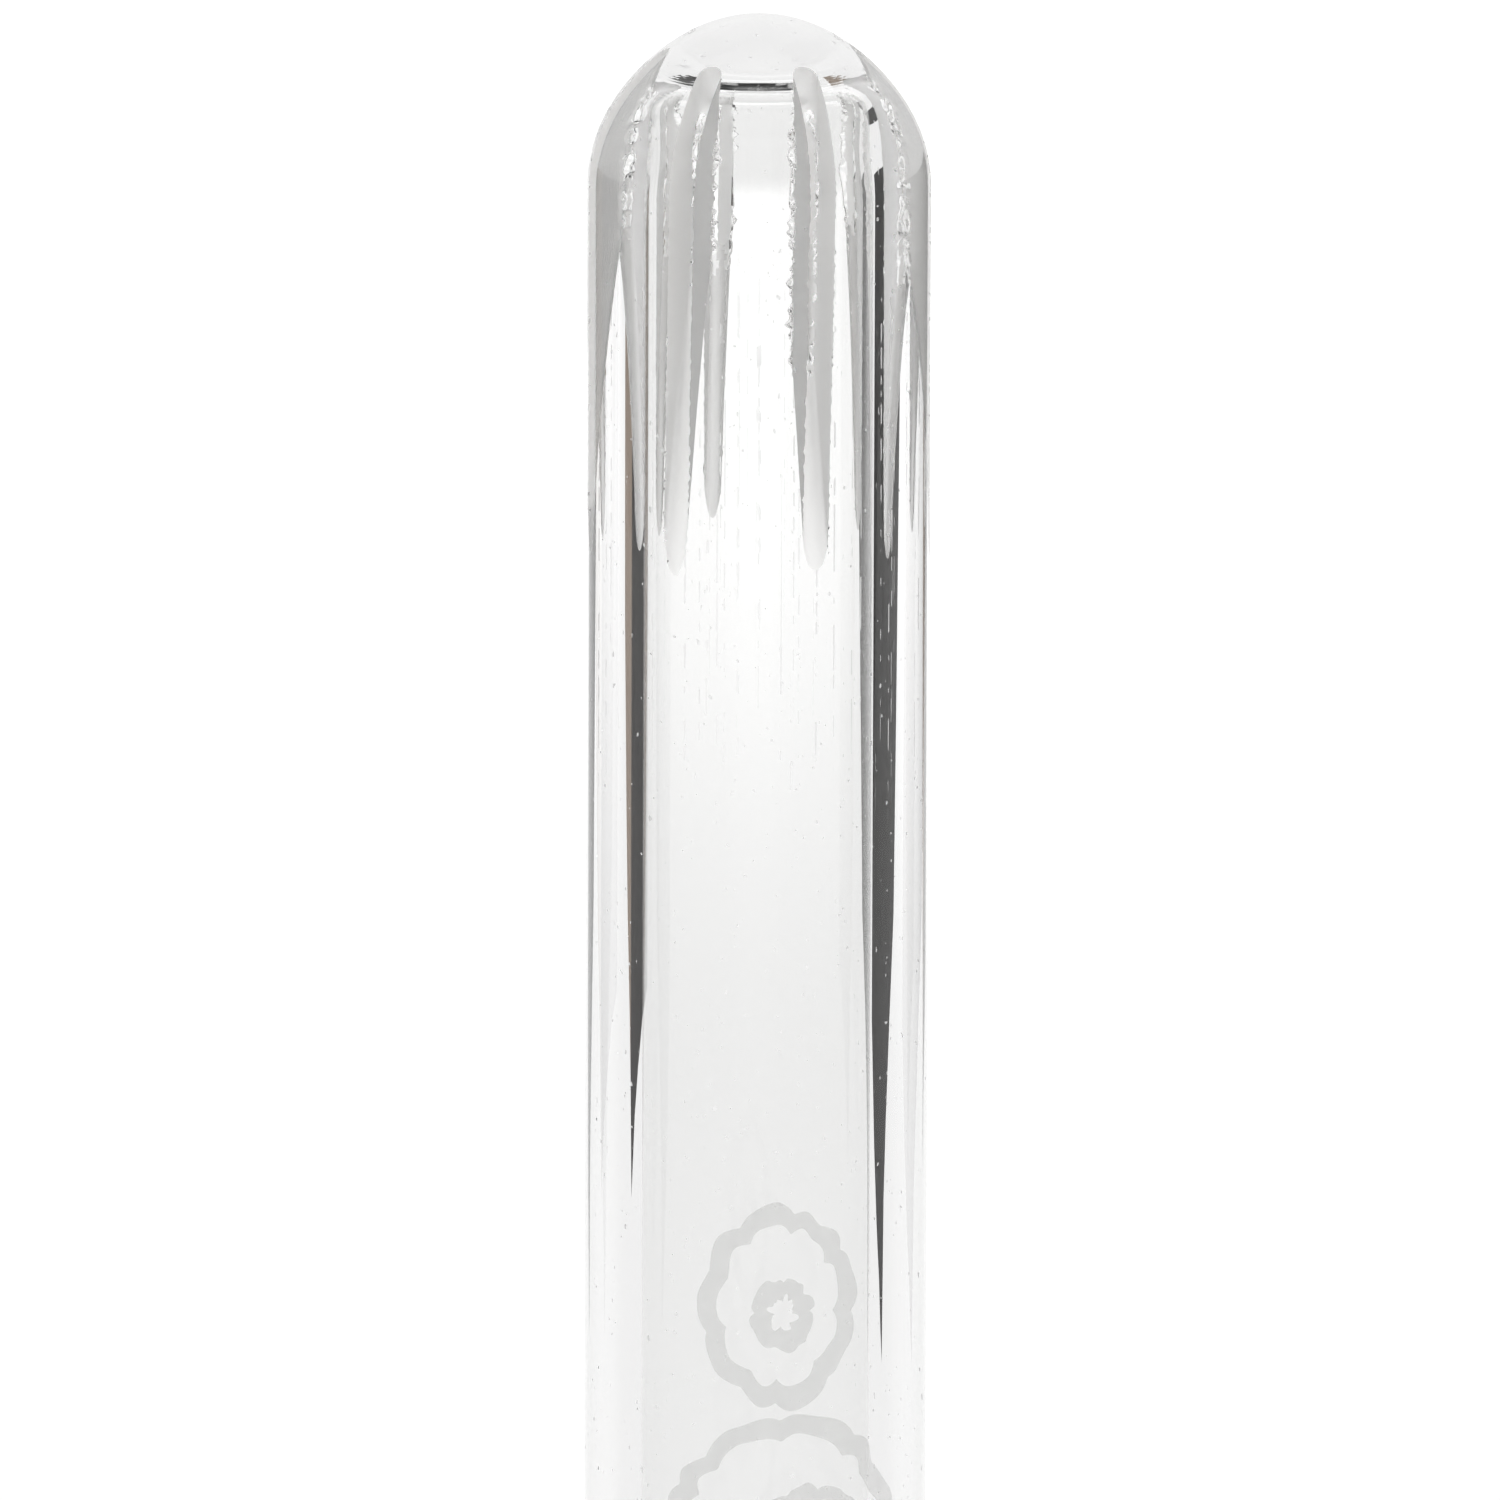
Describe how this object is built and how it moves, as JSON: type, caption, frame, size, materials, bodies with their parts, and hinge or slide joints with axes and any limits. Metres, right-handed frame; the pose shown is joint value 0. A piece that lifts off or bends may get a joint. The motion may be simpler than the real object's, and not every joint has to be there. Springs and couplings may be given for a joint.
{
  "type": "glass diffuser downstem",
  "caption": "Straight clear glass tube with a closed, radially slotted dome end, fused to a ground cone joint with a socket and a thick flat rim.",
  "frame": {"origin": "centre of the flat rim face that it stands on", "axes": "+Z along the tube, from the joint rim up to the closed slotted dome; -Y towards the side the picture was taken from"},
  "size_m": [0.0226, 0.0226, 0.145],
  "materials": {
    "clear_glass": "fire-polished clear borosilicate",
    "ground_glass": "clear glass with ground, frosted cone and socket",
    "bead_glass": "fire-polished clear weld bead"
  },
  "bodies": {
    "root": {"slotted_tube": "clear_glass", "ground_joint": "ground_glass", "seal_ring": "bead_glass"}
  },
  "joints": []
}
